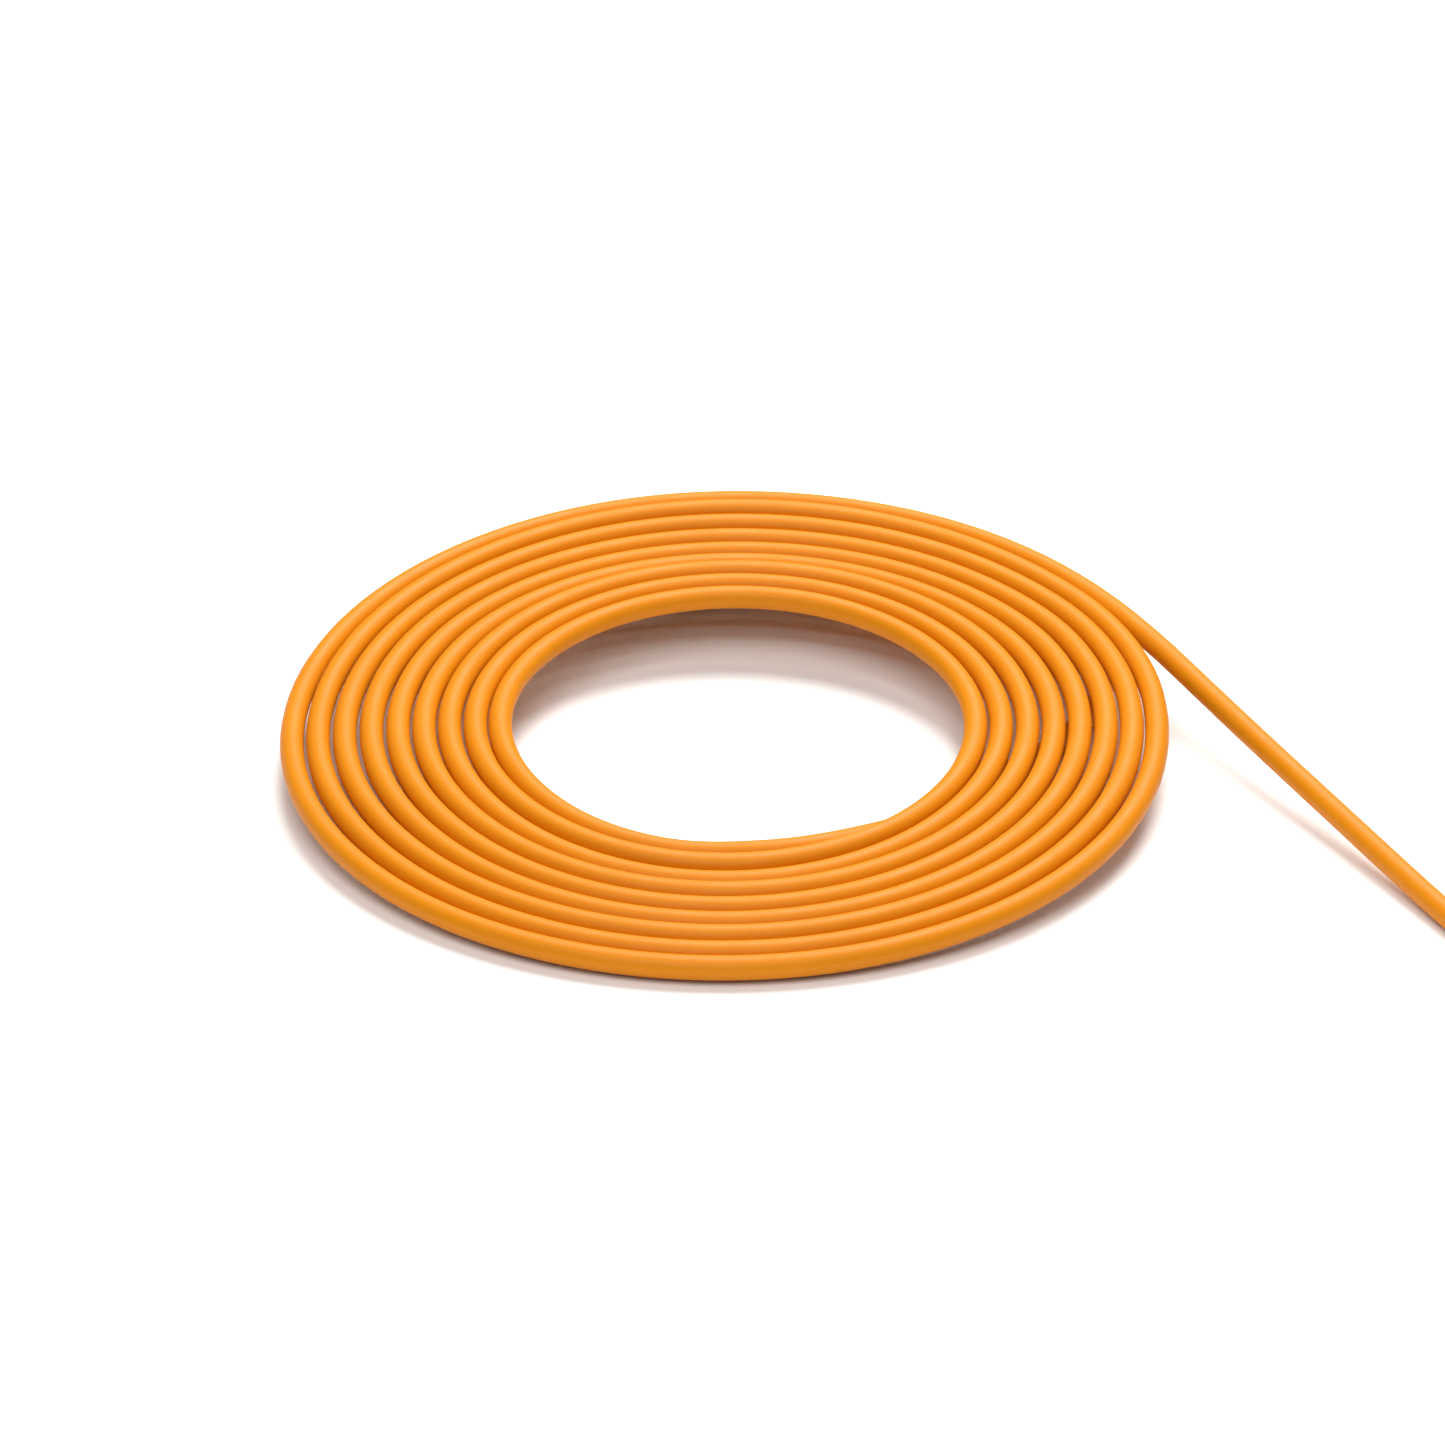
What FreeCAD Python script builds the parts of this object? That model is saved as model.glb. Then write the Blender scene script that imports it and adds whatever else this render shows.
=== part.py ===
import FreeCAD, Part
import math
import os

# Simplex fibre optic patch cord: a round cable wound in a flat spiral coil, with a
# square push-pull connector on each end.
# Millimetres, +Z up.  The origin is under the middle of the coil, on the surface
# that the cord lies on.  +Y is the back of the coil, +X the side it unwinds from.

# ---------------------------------------------------------------- driving sizes

# cable, from the jacket inwards
CABLE_D = 2.8
BUFFER_D = 0.9
FIBRE_D = 0.125

# flat spiral coil
COIL_R = 52.25            # middle of the cable, outermost half turn
TURN_GAP = 0.25           # air between neighbouring turns, which are loose
HALF_TURNS = 18           # the outermost and the innermost are not complete
TAIL_ANGLE = 36.0         # where the outer end leaves, degrees from +X
FRONT_CLEARANCE = 0.34    # under the front of the coil; its back lies on a connector

# ferrule and its collar
FERRULE_D = 2.499
FERRULE_L = 10.5
TIP_BEVEL = 0.5
FERRULE_SEAT = 3.0        # length of ferrule held in the collar
SEAT_STEP = 0.2           # the seat is ground down by this much all round
COLLAR_L = 2.2
COLLAR_LIP = 0.2          # the collar stands this far out round the spring
TAIL_TUBE_D = 2.9
KEY_NOTCH_W = 0.9         # notches that keep the collar from turning
FERRULE_TRAVEL = 1.0

# spring behind the collar
SPRING_WIRE = 0.45
SPRING_L = 7.8
SPRING_TURNS = 6

# plug frame: the fixed inner housing
FRAME_SIDE_WALL = 1.05
FRAME_TOP_WALL = 0.35
FRAME_SETBACK = 0.9       # the ferrule stands this far out of the frame
FRAME_L = 21.6
FRAME_BEVEL = 0.5
CAVITY_WALL = 0.3         # top and bottom of the front cavity, where an adapter enters
WEB_ROOM = 0.65           # round the ferrule where it passes the web
WEB_T = 1.0
RAMP_START = 8.0
RAMP_L = 3.0
RAMP_H = 2.6
RAMP_RISE = 0.75

# grip sleeve: the outer housing that is pulled to unplug
GRIP_SIDE_WALL = 0.9
GRIP_TOP_WALL = 0.8
GRIP_L = 23.0
GRIP_SETBACK = 2.4
GRIP_TRAVEL = 1.8
GRIP_EDGE_R = 0.7
KEY_W = 2.7
KEY_H = 0.8
KEY_L = 7.5
WINDOW_MARGIN = 0.2       # above and below the ramps
RIB_COUNT = 6
RIB_PITCH = 1.7
RIB_GROOVE_W = 0.8
RIB_GROOVE_T = 0.35
RIB_END_MARGIN = 2.0

# rear body, yarn and crimp sleeve
RIM_L = 1.0
REAR_BORE_ROOM = 0.6      # round the buffer
BARREL_WALL = 0.75
BARREL_L = 5.5
KNURL_RINGS = 5
KNURL_DEPTH = 0.12
YARN_T = 0.2
CRIMP_T = 0.35
CRIMP_GRIP_L = 3.8        # length of crimp sleeve over the jacket
JACKET_GAP = 0.4          # jacket end behind the barrel
BUFFER_TAIL = 3.0         # length of buffer inside the jacket

# strain relief boot
BOOT_L = 23.2
BOOT_SHOULDER = 0.35      # the body stands this far out of the neck
BOOT_BODY_L = 6.4
BOOT_TIP_WALL = 0.73
BOOT_SLOTS = 5
BOOT_SLOT_W = 0.9
BOOT_SLOT_PITCH = 2.2
BOOT_SLOT_DEPTH = 0.55
BOOT_SLOT_MARGIN = 0.8    # plain length before the first slot
BOOT_SLOT_SHARE = 0.6     # of the wall, the most that a slot takes

# dust cap on the stored connector
CAP_HEAD_D = 5.2
CAP_HEAD_L = 6.7
CAP_NOSE = 0.5
CAP_ROOM = 0.3            # round the cap's tube in the front cavity
CAP_FLUTES = 12
CAP_FLUTE_D = 0.6

# clearances
SLIDE_GAP = 0.1           # between parts that slide on each other
PRESS_GAP = 0.02          # between parts that are pushed together
CAP_GAP = 0.03            # radial, cap on ferrule
FIBRE_GAP = 0.001         # radial, fibre in ferrule
SPRING_GAP = 0.2          # radial, spring round the tail tube
SPRING_SOLID_GAP = 0.5    # tail tube to rear body with the ferrule pushed right in
FACE_GAP = 0.2            # between end faces that never touch
BUFFER_ROOM = 1.5         # beyond the buffer's end in the cable
LEAD_ROOM = 0.5           # beside the inner lead, before it dips under the coil
CUT = 1.0                 # how far cutting shapes reach past what they cut

# where the two connectors lie
A_TIP_X = -26.3
A_SET_IN = 6.95           # inside the outermost half turn's middle line
B_AXIS_X = 124.5
B_TIP_Y = 10.5

# ---------------------------------------------------------------- worked-out sizes

PITCH = CABLE_D + TURN_GAP
HALF_STEP = PITCH / 2
CENTRE_SHIFT = PITCH / 4

# across the axis, from the inside outwards
FERRULE_BORE_D = FIBRE_D + 2 * FIBRE_GAP
FERRULE_SEAT_D = FERRULE_D - 2 * SEAT_STEP
SPRING_D = TAIL_TUBE_D + 2 * (SPRING_GAP + SPRING_WIRE)
COLLAR_D = SPRING_D + 2 * COLLAR_LIP
FRAME_BORE_D = COLLAR_D + 3 * SLIDE_GAP
FRAME_W = FRAME_BORE_D + 2 * FRAME_SIDE_WALL
FRAME_H = FRAME_BORE_D + 2 * FRAME_TOP_WALL
FRONT_CAVITY_D = FRAME_H - 2 * CAVITY_WALL
WEB_HOLE_D = FERRULE_D + 2 * WEB_ROOM
GRIP_W = FRAME_W + 2 * (SLIDE_GAP + GRIP_SIDE_WALL)
GRIP_H = FRAME_H + 2 * (SLIDE_GAP + GRIP_TOP_WALL)
RIM_D = FRAME_H - SLIDE_GAP
REAR_BORE_D = BUFFER_D + 2 * REAR_BORE_ROOM
BARREL_D = REAR_BORE_D + 2 * BARREL_WALL
JACKET_R = CABLE_D / 2 + PRESS_GAP
CRIMP_BORE_R = max(BARREL_D / 2 + YARN_T, JACKET_R)
CRIMP_R = CRIMP_BORE_R + CRIMP_T
BOOT_NECK_D = RIM_D
BOOT_BODY_D = BOOT_NECK_D + 2 * BOOT_SHOULDER
BOOT_TIP_D = 2 * (JACKET_R + BOOT_TIP_WALL)
CAP_TUBE_D = FRONT_CAVITY_D - 2 * CAP_ROOM
KEY_RIB_REACH = SPRING_D / 2 + SLIDE_GAP

# along the axis, back from the ferrule's tip
COLLAR_FRONT = FERRULE_L - FERRULE_SEAT
COLLAR_REAR = COLLAR_FRONT + COLLAR_L
SPRING_REAR = COLLAR_REAR + SPRING_L
TAIL_TUBE_REAR = SPRING_REAR - FERRULE_TRAVEL - SPRING_SOLID_GAP
FRAME_REAR = FRAME_SETBACK + FRAME_L
RIM_REAR = FRAME_REAR + RIM_L
BARREL_REAR = RIM_REAR + BARREL_L
JACKET_END = BARREL_REAR + JACKET_GAP
GRIP_REAR = GRIP_SETBACK + GRIP_L
CRIMP_FRONT = RIM_REAR + SLIDE_GAP
CRIMP_REAR = JACKET_END + CRIMP_GRIP_L
BOOT_FRONT = RIM_REAR + FACE_GAP + SLIDE_GAP
BOOT_TIP = BOOT_FRONT + BOOT_L
BUFFER_FRONT = FERRULE_L + SLIDE_GAP
BUFFER_REAR = JACKET_END + BUFFER_TAIL
WEB_FRONT = COLLAR_FRONT - WEB_T

# where the coil and the connectors lie
AXIS_Z = GRIP_H / 2
KEY_TOP = GRIP_H + KEY_H
A_AXIS_Y = COIL_R - A_SET_IN
COIL_REST_Y = A_AXIS_Y - KEY_W / 2
COIL_FRONT_Y = -(COIL_R + CABLE_D / 2)
COIL_SLOPE = (KEY_TOP + SLIDE_GAP - FRONT_CLEARANCE) / (COIL_REST_Y - COIL_FRONT_Y)
COIL_TILT = math.degrees(math.atan(COIL_SLOPE))

# The cable's route where it isn't coiled, chosen by hand: middle of the cable.
FLOOR_Z = CABLE_D / 2
INNER_ROUTE = (
    (4.8, -27.0, 3.92), (10.9, -25.3, 3.29), (16.4, -21.6, 2.27), (21.2, -16.7, FLOOR_Z),
    (30.2, -7.95, FLOOR_Z), (40.0, 2.45, FLOOR_Z), (45.4, 13.45, FLOOR_Z), (46.4, 23.35, 1.9),
    (44.5, 31.65, 2.6), (40.5, 38.05, 3.2), (34.7, 42.75, 3.6), (27.7, A_AXIS_Y, AXIS_Z),
)
OUTER_ROUTE = (
    (49.32, 22.33, 7.94), (60.3, 0.5, 5.62), (70.6, -18.4, 3.25), (82.0, -41.2, FLOOR_Z),
    (88.1, -52.7, FLOOR_Z), (95.4, -58.8, FLOOR_Z), (104.6, -61.1, FLOOR_Z),
    (113.9, -59.0, FLOOR_Z), (121.1, -52.8, 2.5), (B_AXIS_X, -44.5, AXIS_Z),
)

ORIGIN = FreeCAD.Vector(0, 0, 0)
X_AXIS = FreeCAD.Vector(1, 0, 0)
Y_AXIS = FreeCAD.Vector(0, 1, 0)
Z_AXIS = FreeCAD.Vector(0, 0, 1)


# ---------------------------------------------------------------- shape helpers
# A connector is modelled along +X, backwards from the ferrule's tip at X = 0,
# with its key on top.

def rod(diameter, start, end):
    return Part.makeCylinder(diameter / 2, end - start, FreeCAD.Vector(start, 0, 0), X_AXIS)


def tube(outer_d, inner_d, start, end):
    return rod(outer_d, start, end).cut(rod(inner_d, start, end))


def block(start, end, width, height, y=0.0, z=0.0):
    corner = FreeCAD.Vector(start, y - width / 2, z - height / 2)
    return Part.makeBox(end - start, width, height, corner)


def turned(profile):
    """Turn a closed outline of (distance, radius) points about the X axis."""
    points = [FreeCAD.Vector(x, 0, r) for x, r in profile]
    face = Part.Face(Part.makePolygon(points + points[:1]))
    return face.revolve(ORIGIN, X_AXIS, 360)


def edges_along_x(shape, width, height, length):
    """The long outer corner edges of a block."""
    found = []
    for edge in shape.Edges:
        box = edge.BoundBox
        long_edge = box.XLength > length / 2
        at_corner = abs(abs(box.YMin) - width / 2) < 1e-4 and abs(abs(box.ZMin) - height / 2) < 1e-4
        if long_edge and at_corner and box.YLength < 1e-4 and box.ZLength < 1e-4:
            found.append(edge)
    return found


# ---------------------------------------------------------------- connector parts

def make_ferrule():
    r, bore_r, seat_r = FERRULE_D / 2, FERRULE_BORE_D / 2, FERRULE_SEAT_D / 2
    return turned([
        (0, bore_r), (0, r - TIP_BEVEL), (TIP_BEVEL, r), (COLLAR_FRONT, r),
        (COLLAR_FRONT, seat_r), (FERRULE_L, seat_r), (FERRULE_L, bore_r),
    ])


def make_fibre():
    return rod(FIBRE_D, 0, BUFFER_FRONT)


def make_buffer():
    return rod(BUFFER_D, BUFFER_FRONT, BUFFER_REAR)


def make_collar():
    """Metal collar pressed on the ferrule, with a tail tube and two key notches."""
    seat_r, bore_r = FERRULE_SEAT_D / 2, (BUFFER_D + SLIDE_GAP) / 2
    collar = turned([
        (COLLAR_FRONT, seat_r), (COLLAR_FRONT, COLLAR_D / 2), (COLLAR_REAR, COLLAR_D / 2),
        (COLLAR_REAR, TAIL_TUBE_D / 2), (TAIL_TUBE_REAR, TAIL_TUBE_D / 2),
        (TAIL_TUBE_REAR, bore_r), (FERRULE_L, bore_r), (FERRULE_L, seat_r),
    ])
    notch_floor = KEY_RIB_REACH - SLIDE_GAP
    for side in (-1, 1):
        notch = block(COLLAR_FRONT, COLLAR_REAR, CUT, KEY_NOTCH_W, y=side * (notch_floor + CUT / 2))
        collar = collar.cut(notch)
    return collar


def make_spring():
    mean_r = (SPRING_D - SPRING_WIRE) / 2
    height = SPRING_L - SPRING_WIRE
    helix = Part.makeHelix(height / SPRING_TURNS, height, mean_r)
    start = FreeCAD.Vector(mean_r, 0, 0)
    ring = Part.Wire(Part.makeCircle(SPRING_WIRE / 2, start, Y_AXIS))
    spring = Part.Wire(helix.Edges).makePipeShell([ring], True, True)
    spring.rotate(ORIGIN, Y_AXIS, 90)
    spring.translate(FreeCAD.Vector(COLLAR_REAR + SPRING_WIRE / 2, 0, 0))
    return spring


def make_plug_frame():
    front, rear = FRAME_SETBACK, FRAME_REAR
    frame = block(front, rear, FRAME_W, FRAME_H)
    frame = frame.makeChamfer(FRAME_BEVEL, [e for e in frame.Edges if e.BoundBox.XMax < front + 1e-4])
    ramp_points = [(RAMP_START, 0), (RAMP_START, RAMP_RISE), (RAMP_START + RAMP_L / 2, RAMP_RISE),
                   (RAMP_START + RAMP_L, 0)]
    for side in (-1, 1):
        corners = [FreeCAD.Vector(x, side * (FRAME_W / 2 + y), -RAMP_H / 2) for x, y in ramp_points]
        ramp = Part.Face(Part.makePolygon(corners + corners[:1])).extrude(Z_AXIS * RAMP_H)
        frame = frame.fuse(ramp)
    frame = frame.removeSplitter()
    frame = frame.cut(rod(FRONT_CAVITY_D, front - CUT, WEB_FRONT))
    frame = frame.cut(rod(WEB_HOLE_D, front, COLLAR_FRONT + CUT))
    frame = frame.cut(rod(FRAME_BORE_D, COLLAR_FRONT, rear + CUT))
    rib_end = COLLAR_REAR + FERRULE_TRAVEL
    rib_t = FRAME_BORE_D / 2 + SLIDE_GAP - KEY_RIB_REACH
    for side in (-1, 1):
        y = side * (KEY_RIB_REACH + rib_t / 2)
        rib = block(COLLAR_FRONT - SLIDE_GAP, rib_end, rib_t, KEY_NOTCH_W - 2 * SLIDE_GAP, y=y)
        frame = frame.fuse(rib)
    return frame.removeSplitter()


def make_rear_body():
    """Rear body: pressed into the frame, with a grooved barrel for the yarn."""
    bore_r, barrel_r = REAR_BORE_D / 2, BARREL_D / 2
    profile = [(SPRING_REAR, bore_r), (SPRING_REAR, FRAME_BORE_D / 2), (FRAME_REAR, FRAME_BORE_D / 2),
               (FRAME_REAR, RIM_D / 2), (RIM_REAR, RIM_D / 2), (RIM_REAR, barrel_r)]
    step = BARREL_L / (2 * KNURL_RINGS + 1)
    for ring in range(KNURL_RINGS):
        groove = RIM_REAR + (2 * ring + 1) * step
        profile += [(groove, barrel_r), (groove, barrel_r - KNURL_DEPTH),
                    (groove + step, barrel_r - KNURL_DEPTH), (groove + step, barrel_r)]
    profile += [(BARREL_REAR, barrel_r), (BARREL_REAR, bore_r)]
    return turned(profile)


def make_yarn():
    """Aramid yarn folded back over the barrel, with its flare at the jacket's end."""
    inner, outer, bore = BARREL_D / 2, CRIMP_BORE_R, REAR_BORE_D / 2
    front = RIM_REAR + 2 * FACE_GAP
    return turned([(front, inner), (front, outer), (JACKET_END, outer), (JACKET_END, bore),
                   (BARREL_REAR, bore), (BARREL_REAR, inner)])


def make_crimp_sleeve():
    return turned([
        (CRIMP_FRONT, CRIMP_BORE_R), (CRIMP_FRONT, CRIMP_R), (JACKET_END, CRIMP_R),
        (JACKET_END + CRIMP_T, JACKET_R + CRIMP_T), (CRIMP_REAR, JACKET_R + CRIMP_T),
        (CRIMP_REAR, JACKET_R), (JACKET_END, JACKET_R), (JACKET_END, CRIMP_BORE_R),
    ])


def make_boot():
    """Moulded strain relief: neck inside the grip, body, and a slotted taper."""
    neck_end = GRIP_REAR + GRIP_TRAVEL + 2 * FACE_GAP
    body_end = neck_end + BOOT_BODY_L
    wide_r, narrow_r = CRIMP_R + PRESS_GAP, JACKET_R
    room_end = CRIMP_REAR + FACE_GAP
    boot = turned([
        (BOOT_FRONT, wide_r), (BOOT_FRONT, BOOT_NECK_D / 2), (neck_end, BOOT_NECK_D / 2),
        (neck_end, BOOT_BODY_D / 2), (body_end, BOOT_BODY_D / 2), (BOOT_TIP, BOOT_TIP_D / 2),
        (BOOT_TIP, narrow_r), (room_end, narrow_r), (room_end, wide_r),
    ])
    taper = (BOOT_BODY_D - BOOT_TIP_D) / 2 / (BOOT_TIP - body_end)
    for slot in range(BOOT_SLOTS):
        start = body_end + BOOT_SLOT_MARGIN + slot * BOOT_SLOT_PITCH
        skin_r = BOOT_BODY_D / 2 - (start - body_end) * taper
        depth = min(BOOT_SLOT_DEPTH, BOOT_SLOT_SHARE * (skin_r - narrow_r))
        boot = boot.cut(tube(BOOT_BODY_D + CUT, 2 * (skin_r - depth), start, start + BOOT_SLOT_W))
    return boot


def make_grip():
    """Outer sleeve with the key on top, a window each side and ribs to hold."""
    front, rear = GRIP_SETBACK, GRIP_REAR
    grip = block(front, rear, GRIP_W, GRIP_H)
    grip = grip.makeFillet(GRIP_EDGE_R, edges_along_x(grip, GRIP_W, GRIP_H, GRIP_L))
    key_z = GRIP_H / 2 + (KEY_H - GRIP_TOP_WALL) / 2
    grip = grip.fuse(block(front, front + KEY_L, KEY_W, KEY_H + GRIP_TOP_WALL, z=key_z))
    grip = grip.cut(block(front - CUT, rear + CUT, FRAME_W + 2 * SLIDE_GAP, FRAME_H + 2 * SLIDE_GAP))
    window_start = RAMP_START - GRIP_TRAVEL - SLIDE_GAP
    window_end = RAMP_START + RAMP_L + SLIDE_GAP
    grip = grip.cut(block(window_start, window_end, GRIP_W + CUT, RAMP_H + 2 * WINDOW_MARGIN))
    ribs_end = rear - RIB_END_MARGIN
    for rib in range(RIB_COUNT):
        end = ribs_end - rib * RIB_PITCH
        for side in (-1, 1):
            y = side * (GRIP_W / 2 + CUT / 2 - RIB_GROOVE_T)
            grip = grip.cut(block(end - RIB_GROOVE_W, end, CUT, GRIP_H + CUT, y=y))
            z = side * (GRIP_H / 2 + CUT / 2 - RIB_GROOVE_T)
            groove_w = GRIP_W - 4 * GRIP_EDGE_R
            grip = grip.cut(block(end - RIB_GROOVE_W, end, groove_w, CUT, z=z))
    return grip.removeSplitter()


def make_dust_cap():
    """Cap that pushes over the ferrule, with a fluted head to hold."""
    head_end = FRAME_SETBACK - FACE_GAP
    head_start = head_end - CAP_HEAD_L
    tube_end = WEB_FRONT - 3 * FACE_GAP
    bore_r = FERRULE_D / 2 + CAP_GAP
    bore_floor = -3 * FACE_GAP
    cap = turned([
        (head_start, 0), (head_start, CAP_HEAD_D / 2 - CAP_NOSE), (head_start + CAP_NOSE, CAP_HEAD_D / 2),
        (head_end, CAP_HEAD_D / 2), (head_end, CAP_TUBE_D / 2), (tube_end, CAP_TUBE_D / 2),
        (tube_end, bore_r), (bore_floor, bore_r), (bore_floor, 0),
    ])
    for flute in range(CAP_FLUTES):
        angle = 2 * math.pi * (flute + 0.5) / CAP_FLUTES
        y, z = CAP_HEAD_D / 2 * math.cos(angle), CAP_HEAD_D / 2 * math.sin(angle)
        base = FreeCAD.Vector(head_start - CUT, y, z)
        cap = cap.cut(Part.makeCylinder(CAP_FLUTE_D / 2, CAP_HEAD_L, base, X_AXIS))
    return cap


# ---------------------------------------------------------------- cable

def coil_height(y):
    """Height of the cable's middle plane in the coil at a distance y from the origin."""
    underside = KEY_TOP + SLIDE_GAP + COIL_SLOPE * (y - COIL_REST_Y)
    return underside + CABLE_D / 2 / math.cos(math.radians(COIL_TILT))


def lay_on_tilt(shape):
    """Move a shape from the coil's own plane to where the coil lies."""
    shape.rotate(ORIGIN, X_AXIS, COIL_TILT)
    shape.translate(FreeCAD.Vector(0, 0, coil_height(0)))
    return shape


def half_turn(index):
    """Centre and radius of the cable's middle line in one half turn, outermost first."""
    side = CENTRE_SHIFT if index % 2 == 0 else -CENTRE_SHIFT
    return FreeCAD.Vector(CENTRE_SHIFT + side, -CENTRE_SHIFT, 0), COIL_R - index * HALF_STEP


def coil_point(index, angle, offset=0.0):
    """Point at an angle on a half turn, offset outwards, in the coil's own plane."""
    centre, radius = half_turn(index)
    reach = radius + offset
    turn = math.radians(angle)
    return centre + FreeCAD.Vector(reach * math.cos(turn), reach * math.sin(turn), 0)


def coil_arc(index, start, end, offset):
    """Edge of the coil's outline along one half turn, angles in degrees."""
    points = [coil_point(index, a, offset) for a in (start, (start + end) / 2, end)]
    return Part.Arc(*points).toShape()


def ring_face(edges):
    return Part.Face(Part.Wire(Part.__sortEdges__(edges)))


def make_coil():
    """The outer shape of the wound cable: a flat ring with a step at each end."""
    half = CABLE_D / 2
    last = HALF_TURNS - 1
    outer = [
        coil_arc(0, TAIL_ANGLE, 180, half), coil_arc(1, 180, 360, half), coil_arc(2, 0, TAIL_ANGLE, half),
        Part.LineSegment(coil_point(2, TAIL_ANGLE, half), coil_point(0, TAIL_ANGLE, half)).toShape(),
    ]
    beside_lead = LEAD_ROOM - half
    inner = [
        coil_arc(last, 180, 270, -half),
        Part.LineSegment(coil_point(last, 270, -half), coil_point(last - 2, 270, beside_lead)).toShape(),
        coil_arc(last - 2, 270, 360, beside_lead),
        Part.LineSegment(coil_point(last - 2, 360, beside_lead), coil_point(last - 1, 0, -half)).toShape(),
        coil_arc(last - 1, 0, 180, -half),
    ]
    disc = ring_face(outer).extrude(Z_AXIS * CABLE_D)
    hole = ring_face(inner).extrude(Z_AXIS * CABLE_D)
    ring = disc.cut(hole)
    ring.translate(Z_AXIS * -half)
    return lay_on_tilt(ring)


def coil_end(index, angle):
    """Where the cable leaves the coil."""
    point = Part.Vertex(coil_point(index, angle))
    return lay_on_tilt(point).Point


def rounded_path(name, points):
    """Straight runs joined by tangent arcs, each as large as its two runs allow."""
    points = [FreeCAD.Vector(*p) for p in points]
    edges = []
    radii = []
    start = points[0]
    for before, corner, after in zip(points, points[1:], points[2:]):
        arrive = (corner - before).normalize()
        leave = (after - corner).normalize()
        half_angle = arrive.getAngle(leave) / 2
        cut = 0.45 * min((corner - before).Length, (after - corner).Length)
        radius = cut / math.tan(half_angle)
        radii.append(round(radius, 1))
        arc_start, arc_end = corner - arrive * cut, corner + leave * cut
        inward = (leave - arrive).normalize()
        middle = corner + inward * (radius / math.cos(half_angle) - radius)
        edges.append(Part.LineSegment(start, arc_start).toShape())
        edges.append(Part.Arc(arc_start, middle, arc_end).toShape())
        start = arc_end
    edges.append(Part.LineSegment(start, points[-1]).toShape())
    print(name, "arc radii, mm:", radii)
    return Part.Wire(edges), points


def make_lead(name, points):
    """Cable along a route that ends in a connector, bored there for the buffer."""
    path, points = rounded_path(name, points)
    ring = Part.Wire(Part.makeCircle(CABLE_D / 2, points[0], points[1] - points[0]))
    lead = path.makePipeShell([ring], True, False)
    inwards = (points[-2] - points[-1]).normalize()
    depth = BUFFER_REAR - JACKET_END + FERRULE_TRAVEL + BUFFER_ROOM
    lead = lead.cut(Part.makeCylinder((BUFFER_D + 2 * SLIDE_GAP) / 2, depth, points[-1], inwards))
    section = math.pi * CABLE_D ** 2 / 4
    ratio = lead.Volume / (section * path.Length)
    print(name, "length", round(path.Length, 1), "volume over section times length", round(ratio, 4))
    return lead, path.Length


# ---------------------------------------------------------------- assembly

def export(name, shape):
    if not shape.isValid() or len(shape.Solids) != 1:
        raise RuntimeError(name + " is not one valid solid")
    shape.exportStep("parts/" + name + ".step")
    print(name, "volume", round(shape.Volume, 3))


def place_a(shape):
    shape.translate(FreeCAD.Vector(A_TIP_X, A_AXIS_Y, AXIS_Z))
    return shape


def place_b(shape):
    shape.rotate(ORIGIN, Z_AXIS, -90)
    shape.translate(FreeCAD.Vector(B_AXIS_X, B_TIP_Y, AXIS_Z))
    return shape


CONNECTOR_PARTS = (
    ("ferrule", make_ferrule), ("bare_fibre", make_fibre), ("buffer", make_buffer),
    ("ferrule_collar", make_collar), ("spring", make_spring), ("plug_frame", make_plug_frame),
    ("rear_body", make_rear_body), ("aramid_yarn", make_yarn), ("crimp_sleeve", make_crimp_sleeve),
    ("boot", make_boot), ("grip_sleeve", make_grip),
)


def main():
    os.makedirs("parts", exist_ok=True)
    for end, place in (("a", place_a), ("b", place_b)):
        for name, make in CONNECTOR_PARTS:
            export(name + "_" + end, place(make()))
    export("dust_cap_a", place_a(make_dust_cap()))

    export("cable_coil", make_coil())
    jacket_end_a = (A_TIP_X + JACKET_END, A_AXIS_Y, AXIS_Z)
    jacket_end_b = (B_AXIS_X, B_TIP_Y - JACKET_END, AXIS_Z)
    inner_start = tuple(coil_end(HALF_TURNS - 1, 270))
    outer_start = tuple(coil_end(0, TAIL_ANGLE))
    inner_lead, inner_length = make_lead("inner_lead", (inner_start,) + INNER_ROUTE + (jacket_end_a,))
    outer_lead, outer_length = make_lead("outer_lead", (outer_start,) + OUTER_ROUTE + (jacket_end_b,))
    export("inner_lead", inner_lead)
    export("outer_lead", outer_lead)

    turns = sum(half_turn(i)[1] for i in range(1, HALF_TURNS - 1)) * math.pi
    turns += math.radians(180 - TAIL_ANGLE) * COIL_R
    turns += math.radians(90) * half_turn(HALF_TURNS - 1)[1]
    print("cable in the coil", round(turns, 1), "cable in all", round(turns + inner_length + outer_length, 1))


main()
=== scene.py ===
import math

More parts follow.
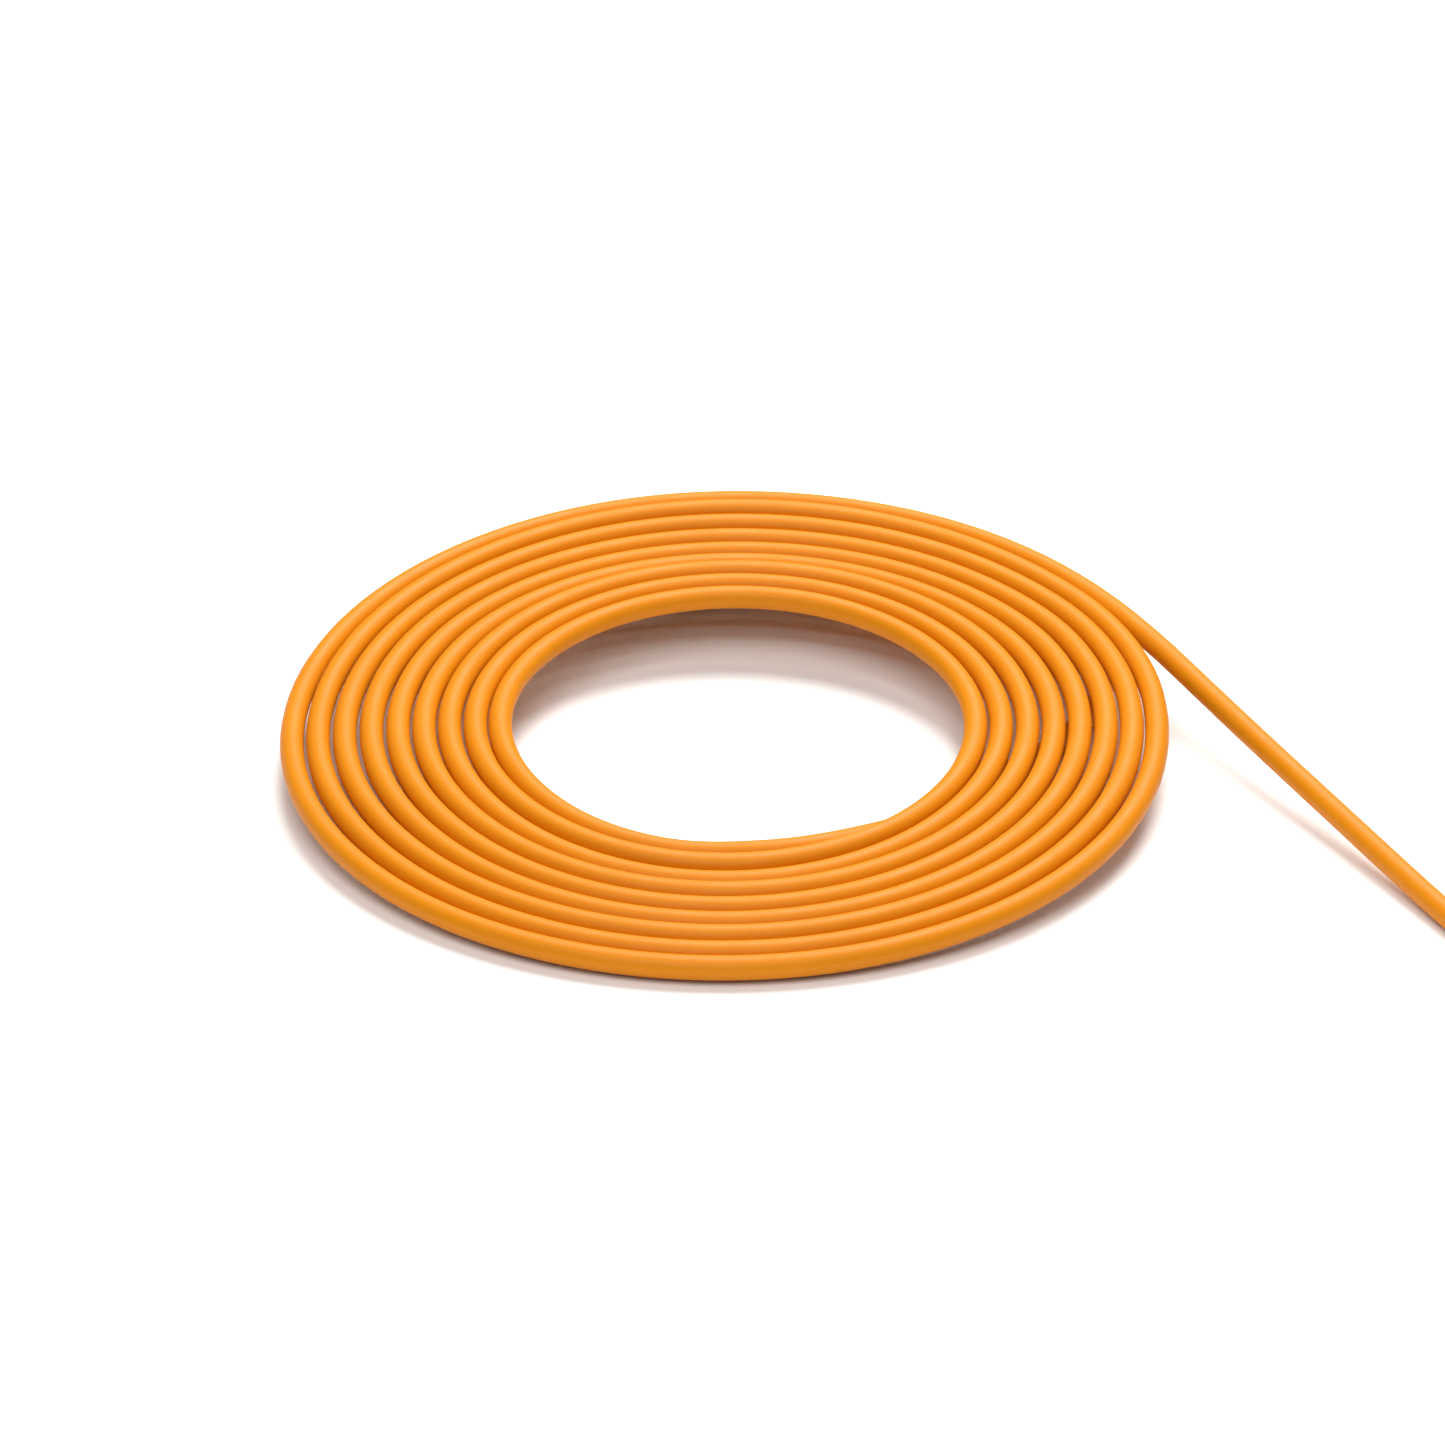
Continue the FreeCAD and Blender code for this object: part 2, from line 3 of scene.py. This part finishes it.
import bpy
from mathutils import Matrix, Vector


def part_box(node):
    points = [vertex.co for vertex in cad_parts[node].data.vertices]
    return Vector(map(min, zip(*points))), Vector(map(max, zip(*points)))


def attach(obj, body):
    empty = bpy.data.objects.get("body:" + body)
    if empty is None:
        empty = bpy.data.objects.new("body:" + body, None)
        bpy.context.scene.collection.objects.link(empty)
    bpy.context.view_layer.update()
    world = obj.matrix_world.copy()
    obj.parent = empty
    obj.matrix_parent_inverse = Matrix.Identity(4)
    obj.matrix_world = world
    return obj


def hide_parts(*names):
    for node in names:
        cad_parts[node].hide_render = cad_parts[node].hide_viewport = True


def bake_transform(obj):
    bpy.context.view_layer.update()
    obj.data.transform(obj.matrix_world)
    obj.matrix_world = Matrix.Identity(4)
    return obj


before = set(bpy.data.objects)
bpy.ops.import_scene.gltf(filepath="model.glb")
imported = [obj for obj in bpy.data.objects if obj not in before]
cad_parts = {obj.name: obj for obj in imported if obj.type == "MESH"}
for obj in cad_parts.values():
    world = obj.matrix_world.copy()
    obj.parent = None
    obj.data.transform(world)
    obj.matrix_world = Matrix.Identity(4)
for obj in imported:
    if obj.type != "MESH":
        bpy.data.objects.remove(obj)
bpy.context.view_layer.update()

bl_info = {
    "name": "Fibre Patch Cord",
    "version": (1, 0, 0),
    "blender": (4, 5, 0),
    "location": "View3D > Sidebar > Patch Cord",
    "description": "Builds a coiled fibre patch cord with its connectors on a pale floor",
    "category": "Object",
}

MM = 0.001
COIL_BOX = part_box("cable_coil")
BOOT_A_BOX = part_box("boot_a")
BOOT_B_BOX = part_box("boot_b")


# ------------------------------------------------------------------ settings

def linear(hex_colour):
    """sRGB hex such as "#F08A1E" to linear red, green, blue and 1."""
    channels = [int(hex_colour[i:i + 2], 16) / 255 for i in (1, 3, 5)]
    return tuple(c / 12.92 if c <= 0.04045 else ((c + 0.055) / 1.055) ** 2.4 for c in channels) + (1.0,)


def length_prop(name, description, default_mm):
    return bpy.props.FloatProperty(
        name=name, description=description, default=default_mm * MM, min=0, unit="LENGTH", precision=5)


def colour_prop(name, description, default_hex):
    return bpy.props.FloatVectorProperty(
        name=name, description=description, default=linear(default_hex), size=4, min=0, max=1,
        subtype="COLOR")


class CordSettings(bpy.types.PropertyGroup):
    """Sizes of the cable and of its coil."""

    diameter: length_prop("Cable diameter", "Outside of the jacket", 2.8)
    turn_gap: length_prop("Turn gap", "Usual air between neighbouring turns", 0.25)
    coil_radius: length_prop("Coil radius", "Middle of the cable in the outermost half turn", 52.25)
    tilt: bpy.props.FloatProperty(
        name="Coil tilt", description="The back of the coil lies on the stored connector",
        default=math.radians(4.66), unit="ROTATION")
    half_turns: bpy.props.IntProperty(
        name="Half turns", description="Half turns in the coil, counting both unfinished ones",
        default=18, min=4, max=18)
    tail_angle: bpy.props.FloatProperty(
        name="Tail angle", description="Where the outer end leaves the coil, from the right",
        default=math.radians(36), unit="ROTATION")


class FinishSettings(bpy.types.PropertyGroup):
    """Colours of the materials."""

    jacket: colour_prop("Jacket", "Orange PVC of a multimode cable", "#CE7B02")
    housing: colour_prop("Housing", "Beige of a multimode connector's grip", "#D8C7A4")
    inner_frame: colour_prop("Plug frame", "Ivory moulding inside the grip", "#EFEBDD")
    boot: colour_prop("Boot", "Soft ivory strain relief", "#E9E4D4")
    cap: colour_prop("Dust cap", "Milky polyethylene", "#E3E9EC")
    ceramic: colour_prop("Ferrule", "Polished white zirconia", "#F4F3EE")
    nickel: colour_prop("Nickel", "Plated turned parts", "#C9C4BA")
    aramid: colour_prop("Aramid", "Yellow strength yarn", "#E2C04A")
    floor: colour_prop("Floor", "Plain pale studio floor", "#F6F6F5")


# ------------------------------------------------------------------ node helper

def add(tree, kind, inputs=None, **settings):
    """Add one shader node, set its properties, and set or link its inputs by name or number."""
    node = tree.nodes.new(kind)
    for key, value in settings.items():
        setattr(node, key, value)
    for key, value in (inputs or {}).items():
        if isinstance(value, bpy.types.NodeSocket):
            tree.links.new(value, node.inputs[key])
        else:
            node.inputs[key].default_value = value
    return node


def new_material(name):
    """An empty node material with its shader: returns material, tree and shader."""
    material = bpy.data.materials.new(name)
    material.use_nodes = True
    tree = material.node_tree
    return material, tree, tree.nodes["Principled BSDF"]


def surface_point(tree):
    """Position on the piece in metres."""
    return add(tree, "ShaderNodeTexCoord").outputs["Object"]


def grain(tree, size, detail=2.0, roughness=0.5):
    """Noise whose blotches are about size metres across."""
    return add(tree, "ShaderNodeTexNoise", {
        "Vector": surface_point(tree), "Scale": 1 / size, "Detail": detail, "Roughness": roughness,
    }).outputs["Fac"]


def spread(tree, fac, low, high):
    """Stretch a 0 to 1 pattern over the range from low to high."""
    return add(tree, "ShaderNodeMapRange", {
        "Value": fac, "From Min": 0.3, "From Max": 0.7, "To Min": low, "To Max": high,
    }).outputs["Result"]


def tinted(tree, fac, colour, darker, lighter):
    """The colour varied between a darker and a lighter share of itself."""
    low = tuple(c * darker for c in colour[:3]) + (1.0,)
    high = tuple(min(1.0, c * lighter) for c in colour[:3]) + (1.0,)
    mix = add(tree, "ShaderNodeMix", {"Factor": fac, "A": low, "B": high}, data_type="RGBA")
    return mix.outputs["Result"]


def bumped(tree, shader, height, distance):
    """Give the shader a relief, distance metres deep."""
    bump = add(tree, "ShaderNodeBump", {"Height": height, "Distance": distance})
    tree.links.new(bump.outputs["Normal"], shader.inputs["Normal"])


def stained(tree, shader, colour, blotch, darker, lighter, detail=2.0):
    """Link the colour, varied in blotches, to the shader."""
    shade = tinted(tree, grain(tree, blotch, detail), colour, darker, lighter)
    tree.links.new(shade, shader.inputs["Base Color"])


def scuffed(tree, shader, blotch, smooth, rough):
    """Link a roughness that varies in blotches to the shader."""
    tree.links.new(spread(tree, grain(tree, blotch), smooth, rough), shader.inputs["Roughness"])


# ------------------------------------------------------------------ materials

def extruded_pvc(colour):
    """Soft PVC drawn through a die: satin, with a fine orange-peel skin."""
    material, tree, shader = new_material("extruded_pvc_jacket")
    stained(tree, shader, colour, 14 * MM, 0.94, 1.06, 3)
    scuffed(tree, shader, 3 * MM, 0.44, 0.54)
    shader.inputs["IOR"].default_value = 1.53
    shader.inputs["Specular IOR Level"].default_value = 0.16
    # 0.5 mm ripples: they soften the highlight as the finer real peel does
    bumped(tree, shader, grain(tree, 0.5 * MM, 3), 0.012 * MM)
    return material


def moulded_plastic(name, colour, roughness, grain_size, depth, ior=1.58):
    """Injection-moulded engineering plastic with a light spark-eroded texture."""
    material, tree, shader = new_material(name)
    stained(tree, shader, colour, 6 * MM, 0.96, 1.03, 3)
    scuffed(tree, shader, 1.5 * MM, roughness - 0.05, roughness + 0.06)
    shader.inputs["IOR"].default_value = ior
    bumped(tree, shader, grain(tree, grain_size), depth)
    return material


def milky_polyethylene(colour):
    """Soft polyethylene: light goes a little way in, so edges glow and shade is weak."""
    material, tree, shader = new_material("milky_polyethylene")
    stained(tree, shader, colour, 4 * MM, 0.97, 1.02)
    shader.inputs["Roughness"].default_value = 0.36
    shader.inputs["IOR"].default_value = 1.51
    shader.inputs["Subsurface Weight"].default_value = 0.35
    shader.inputs["Subsurface Radius"].default_value = (1.0, 0.95, 0.9)
    shader.inputs["Subsurface Scale"].default_value = 1.2 * MM
    bumped(tree, shader, grain(tree, 0.4 * MM), 0.008 * MM)
    return material


def polished_zirconia(colour):
    """Zirconia ground and polished: white, dense and glassy."""
    material, tree, shader = new_material("polished_zirconia")
    stained(tree, shader, colour, 3 * MM, 0.98, 1.01)
    scuffed(tree, shader, 0.3 * MM, 0.10, 0.18)
    shader.inputs["IOR"].default_value = 2.1
    return material


def turned_nickel(colour):
    """Nickel plate over turned brass: a soft metal sheen with a fine grain."""
    material, tree, shader = new_material("nickel_plated_brass")
    stained(tree, shader, colour, 2 * MM, 0.92, 1.04)
    scuffed(tree, shader, 0.4 * MM, 0.20, 0.32)
    shader.inputs["Metallic"].default_value = 1.0
    bumped(tree, shader, grain(tree, 0.15 * MM), 0.004 * MM)
    return material


def drawn_steel():
    """Stainless spring wire, drawn bright."""
    material, tree, shader = new_material("drawn_spring_steel")
    stained(tree, shader, linear("#B4B5B7"), 1 * MM, 0.9, 1.05)
    scuffed(tree, shader, 0.5 * MM, 0.24, 0.36)
    shader.inputs["Metallic"].default_value = 1.0
    return material


def aramid_yarn(colour):
    """Combed aramid: dull yellow filaments."""
    material, tree, shader = new_material("combed_aramid")
    stained(tree, shader, colour, 0.3 * MM, 0.75, 1.1, 4)
    shader.inputs["Roughness"].default_value = 0.7
    shader.inputs["Sheen Weight"].default_value = 0.3
    bumped(tree, shader, grain(tree, 0.12 * MM, 3), 0.03 * MM)
    return material


def acrylate_buffer():
    """White tight buffer over the fibre."""
    return moulded_plastic("acrylate_buffer", linear("#F2F2F0"), 0.35, 0.3 * MM, 0.004 * MM, 1.5)


def silica_glass():
    """Bare silica fibre, cleaved and polished at the tip."""
    material, tree, shader = new_material("silica_glass")
    stained(tree, shader, linear("#DDE6EA"), 1 * MM, 0.97, 1.0)
    shader.inputs["Roughness"].default_value = 0.05
    shader.inputs["IOR"].default_value = 1.46
    return material


def studio_floor(colour):
    """Matt painted board."""
    material, tree, shader = new_material("matt_studio_board")
    stained(tree, shader, colour, 80 * MM, 0.995, 1.0)
    shader.inputs["Roughness"].default_value = 0.9
    shader.inputs["Specular IOR Level"].default_value = 0.15
    return material


def finish_nodes(names, material):
    """Give CAD nodes their material."""
    for name in names:
        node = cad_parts[name]
        if not node.material_slots:
            raise RuntimeError(name + " has no material slot")
        for slot in node.material_slots:
            slot.material = material


# ------------------------------------------------------------------ cable route
# Control points of the cable's middle in millimetres, from the coil to each connector.

FLOOR_Z = 1.4  # the cable lies on the floor
CONNECTOR_Z = 3.7  # the cable is level with a connector's axis
INNER_ROUTE = (
    (5.0, -27.1, 3.1), (11.1, -25.7, 3.15), (17.3, -22.6, 2.95), (22.4, -17.5, 1.6),
    (30.2, -7.95, FLOOR_Z), (40.0, 2.45, FLOOR_Z), (45.4, 13.45, FLOOR_Z), (46.4, 23.35, 1.9),
    (44.5, 31.65, 2.6), (40.5, 38.05, 3.2), (34.7, 42.75, 3.6), (27.7, 45.3, CONNECTOR_Z),
)
OUTER_ROUTE = (
    (49.32, 22.33, 7.94), (60.3, 0.5, 5.62), (70.6, -18.4, 3.25), (82.0, -41.2, FLOOR_Z),
    (88.1, -52.7, FLOOR_Z), (95.4, -58.8, FLOOR_Z), (104.6, -61.1, FLOOR_Z),
    (113.9, -59.0, FLOOR_Z), (121.1, -52.8, 2.5), (124.5, -44.5, CONNECTOR_Z),
)
POINTS_PER_TURN = 24
STEPS_PER_POINT = 5
ROUNDNESS = 7
INSIDE_BOOT = 3 * MM


def boot_tips():
    """The points where the cable comes out of the two boots."""
    (_, y0, z0), (x1, y1, z1) = BOOT_A_BOX
    tip_a = Vector((x1, (y0 + y1) / 2, (z0 + z1) / 2))
    (x0, y0, z0), (x1, _, z1) = BOOT_B_BOX
    tip_b = Vector(((x0 + x1) / 2, y0, (z0 + z1) / 2))
    return tip_a, tip_b


# How single turns lie off the even spiral, in mm outwards and upwards, outermost turn first
FRONT_SPREAD = (0.0, 0.0, 0.05, 0.20, 0.30, 0.38, 0.45, 0.50, 0.55)
LEFT_SPREAD = (0.02, 0.0, -0.08, -0.18, -0.24, -0.25, -0.18, -0.17, -0.02)
RIGHT_SPREAD = (0.0, 0.04, 0.14, 0.18, 0.18, 0.18, 0.18, 0.15, 0.20)
BACK_LIFT = (-0.20, 0.35, 0.0, -0.32, -0.44, -0.29, 0.48, 0.42, 0.47)
FRONT_LIFT = (0.0, -0.13, 0.0, -0.20, -0.20, -0.15, -0.70, -0.27, -0.85)
LEFT_LIFT = (-0.95, -0.55, -0.35, -0.05, 0.05, 0.10, 0.15, 0.20, 0.25)
RIGHT_LIFT = (0.0, 0.15, 0.40, 0.45, 0.40, 0.30, 0.20, 0.10, 0.0)

# Where the outer end leaves, the next turns follow it for a while before they bend on round
HUG_ARC = math.radians(42)
HUG_SPREADS = (0.0, 0.75, 0.62, 0.48, 0.34, 0.20, 0.08, 0.0, 0.0)


def looseness(angle):
    """How far the cable lies outwards and upwards of the even spiral, angle counted over all turns."""
    turn = int(angle // (2 * math.pi))
    nearest_right = int(angle / (2 * math.pi) + 0.5)
    side, end = math.cos(angle) ** 2, math.sin(angle) ** 2
    if math.cos(angle) > 0:
        outwards, lift = side * RIGHT_SPREAD[nearest_right], side * RIGHT_LIFT[nearest_right]
    else:
        outwards, lift = side * LEFT_SPREAD[turn], side * LEFT_LIFT[turn]
    if math.sin(angle) > 0:
        lift += end * BACK_LIFT[turn]
    else:
        outwards += end * FRONT_SPREAD[turn]
        lift += end * FRONT_LIFT[turn]
    past_right = angle % (2 * math.pi)
    if past_right < HUG_ARC:
        outwards += HUG_SPREADS[turn] * math.sin(math.pi * past_right / HUG_ARC) ** 2
    return outwards * MM, lift * MM


def coil_points(cord):
    """Control points of the leaning spiral, from its inner end to its outer end."""
    pitch = cord.diameter + cord.turn_gap
    start = cord.tail_angle
    end = (cord.half_turns - 1) * math.pi + math.pi / 2
    count = round((end - start) / (2 * math.pi) * POINTS_PER_TURN)
    step = (end - start) / count
    # the smooth curve runs inside its control points by this share
    pull_in = (3 + math.cos(step)) / 4
    low, high = COIL_BOX
    middle_height = (low[2] + high[2]) / 2
    points = []
    for i in reversed(range(count)):
        angle = start + (i + 0.5) * step
        half_turn = int(angle // math.pi)
        side = 1 if half_turn % 2 == 0 else -1
        outwards, lift = looseness(angle)
        radius = (cord.coil_radius - half_turn * pitch / 2 + outwards) / pull_in
        x = pitch / 4 * (1 + side) + radius * math.cos(angle)
        y = -pitch / 4 + radius * math.sin(angle)
        z = middle_height + y * math.sin(cord.tilt) + lift
        points.append(Vector((x, y * math.cos(cord.tilt), z)))
    return points


def cable_points(cord):
    """Every control point of the cable, from connector A to connector B."""
    tip_a, tip_b = boot_tips()
    inner = [Vector(p) * MM for p in reversed(INNER_ROUTE)]
    outer = [Vector(p) * MM for p in OUTER_ROUTE]
    first = tip_a - Vector((INSIDE_BOOT, 0, 0))
    last = tip_b + Vector((0, INSIDE_BOOT, 0))
    return [first] + inner + coil_points(cord) + outer + [last]


def smooth_curve(name, points, radius):
    """One open curve through space with a round section."""
    data = bpy.data.curves.new(name, "CURVE")
    data.dimensions = "3D"
    data.bevel_depth = radius
    data.bevel_resolution = ROUNDNESS
    data.resolution_u = STEPS_PER_POINT
    data.use_fill_caps = True
    spline = data.splines.new("NURBS")
    spline.points.add(len(points) - 1)
    for control, point in zip(spline.points, points):
        control.co = (*point, 1.0)
    spline.order_u = 3
    spline.use_endpoint_u = True
    spline.use_smooth = True
    curve = bpy.data.objects.new(name, data)
    bpy.context.collection.objects.link(curve)
    return curve


# ------------------------------------------------------------------ operators

SPRING_WIRE = "spring_wire_"


class PATCHCORD_OT_springs(bpy.types.Operator):
    """Make the ferrule springs in drawn steel, as fixed copies of the CAD springs"""

    bl_idname = "patchcord.springs"
    bl_label = "Springs"

    def execute(self, context):
        steel = drawn_steel()
        for end in ("a", "b"):
            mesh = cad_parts["spring_" + end].data.copy()
            mesh.materials.clear()
            mesh.materials.append(steel)
            wire = bpy.data.objects.new(SPRING_WIRE + end, mesh)
            bpy.context.collection.objects.link(wire)
            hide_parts("spring_" + end)
            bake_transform(wire)
        return {"FINISHED"}


class PATCHCORD_OT_cable(bpy.types.Operator):
    """Lay the cable: inner lead, coil and outer lead as one smooth line"""

    bl_idname = "patchcord.cable"
    bl_label = "Cable"

    def execute(self, context):
        cord = context.scene.patch_cord
        cable = smooth_curve("patch_cable", cable_points(cord), cord.diameter / 2)
        cable.data.materials.append(extruded_pvc(context.scene.patch_cord_finish.jacket))
        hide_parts("cable_coil", "inner_lead", "outer_lead")
        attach(cable, "cable")
        return {"FINISHED"}


class PATCHCORD_OT_housings(bpy.types.Operator):
    """Finish the grips, the plug frames, the boots and the dust cap"""

    bl_idname = "patchcord.housings"
    bl_label = "Housings"

    def execute(self, context):
        finish = context.scene.patch_cord_finish
        grip = moulded_plastic("moulded_pbt_grip", finish.housing, 0.34, 0.35 * MM, 0.006 * MM)
        inner = moulded_plastic("moulded_pbt_frame", finish.inner_frame, 0.40, 0.3 * MM, 0.005 * MM)
        boot = moulded_plastic("soft_elastomer_boot", finish.boot, 0.56, 0.45 * MM, 0.012 * MM, 1.5)
        finish_nodes(["grip_sleeve_a", "grip_sleeve_b"], grip)
        finish_nodes(["plug_frame_a", "plug_frame_b"], inner)
        finish_nodes(["boot_a", "boot_b"], boot)
        finish_nodes(["dust_cap_a"], milky_polyethylene(finish.cap))
        return {"FINISHED"}


class PATCHCORD_OT_optical_parts(bpy.types.Operator):
    """Finish the ferrules, fibres and buffers"""

    bl_idname = "patchcord.optical_parts"
    bl_label = "Optical parts"

    def execute(self, context):
        finish = context.scene.patch_cord_finish
        finish_nodes(["ferrule_a", "ferrule_b"], polished_zirconia(finish.ceramic))
        finish_nodes(["bare_fibre_a", "bare_fibre_b"], silica_glass())
        finish_nodes(["buffer_a", "buffer_b"], acrylate_buffer())
        return {"FINISHED"}


class PATCHCORD_OT_inner_parts(bpy.types.Operator):
    """Finish the collars, rear bodies, crimp sleeves and yarn"""

    bl_idname = "patchcord.inner_parts"
    bl_label = "Inner parts"

    def execute(self, context):
        finish = context.scene.patch_cord_finish
        kinds = ("ferrule_collar", "rear_body", "crimp_sleeve")
        plated = [kind + end for kind in kinds for end in ("_a", "_b")]
        finish_nodes(plated, turned_nickel(finish.nickel))
        finish_nodes(["aramid_yarn_a", "aramid_yarn_b"], aramid_yarn(finish.aramid))
        return {"FINISHED"}


CAMERA_PLACE = Vector((-0.18, -584.6, 310.2)) * MM
CAMERA_DROP = math.radians(27.52)
LENS, SENSOR = 139.516, 36.0  # millimetres
FLOOR_HALF = 4.0
LIGHT_TARGET = Vector((0.02, 0, 0))
WORLD_STRENGTH = 0.22


def soft_light(name, place, size, power):
    """A round softbox, size metres across, that faces the cord."""
    data = bpy.data.lights.new(name, "AREA")
    data.shape = "DISK"
    data.size = size
    data.energy = power
    lamp = bpy.data.objects.new(name, data)
    lamp.location = place
    lamp.rotation_euler = (LIGHT_TARGET - lamp.location).to_track_quat("-Z", "Y").to_euler()
    bpy.context.collection.objects.link(lamp)


class PATCHCORD_OT_stage(bpy.types.Operator):
    """Set up the floor, the lights and the camera"""

    bl_idname = "patchcord.stage"
    bl_label = "Stage"

    def execute(self, context):
        scene = context.scene
        half = FLOOR_HALF
        corners = [(-half, -half, 0), (half, -half, 0), (half, half, 0), (-half, half, 0)]
        mesh = bpy.data.meshes.new("studio_floor")
        mesh.from_pydata(corners, [], [(0, 1, 2, 3)])
        mesh.materials.append(studio_floor(scene.patch_cord_finish.floor))
        floor = bpy.data.objects.new("studio_floor", mesh)
        scene.collection.objects.link(floor)

        soft_light("back_softbox", (0.12, 0.36, 0.64), 0.6, 9.3)
        soft_light("front_fill", (-0.10, -0.55, 0.75), 0.7, 5.2)

        world = bpy.data.worlds.new("white_studio")
        world.use_nodes = True
        backdrop = world.node_tree.nodes["Background"]
        backdrop.inputs["Color"].default_value = (1.0, 1.0, 1.0, 1.0)
        backdrop.inputs["Strength"].default_value = WORLD_STRENGTH
        scene.world = world
        scene.view_settings.view_transform = "Standard"

        data = bpy.data.cameras.new("camera")
        data.sensor_width = SENSOR
        data.lens = LENS
        data.clip_start = 0.01
        data.clip_end = 20
        camera = bpy.data.objects.new("camera", data)
        camera.location = CAMERA_PLACE
        camera.rotation_euler = (math.radians(90) - CAMERA_DROP, 0, 0)
        scene.collection.objects.link(camera)
        scene.camera = camera
        return {"FINISHED"}


PIECE_OPERATORS = (
    PATCHCORD_OT_stage, PATCHCORD_OT_springs, PATCHCORD_OT_cable, PATCHCORD_OT_housings,
    PATCHCORD_OT_optical_parts, PATCHCORD_OT_inner_parts,
)


class PATCHCORD_PT_panel(bpy.types.Panel):
    """Lists the cord's sizes, colours and building steps"""

    bl_idname = "PATCHCORD_PT_panel"
    bl_label = "Patch Cord"
    bl_space_type = "VIEW_3D"
    bl_region_type = "UI"
    bl_category = "Patch Cord"

    def draw(self, context):
        for group in (context.scene.patch_cord, context.scene.patch_cord_finish):
            for name in group.__annotations__:
                self.layout.prop(group, name)
        for operator in PIECE_OPERATORS:
            self.layout.operator(operator.bl_idname)


CLASSES = (CordSettings, FinishSettings) + PIECE_OPERATORS + (PATCHCORD_PT_panel,)


def register():
    for cls in CLASSES:
        bpy.utils.register_class(cls)
    bpy.types.Scene.patch_cord = bpy.props.PointerProperty(type=CordSettings)
    bpy.types.Scene.patch_cord_finish = bpy.props.PointerProperty(type=FinishSettings)


def unregister():
    del bpy.types.Scene.patch_cord_finish
    del bpy.types.Scene.patch_cord
    for cls in reversed(CLASSES):
        bpy.utils.unregister_class(cls)


def main():
    register()
    bpy.ops.patchcord.stage()
    bpy.ops.patchcord.springs()
    bpy.ops.patchcord.cable()
    bpy.ops.patchcord.housings()
    bpy.ops.patchcord.optical_parts()
    bpy.ops.patchcord.inner_parts()


if __name__ == "__main__":
    main()
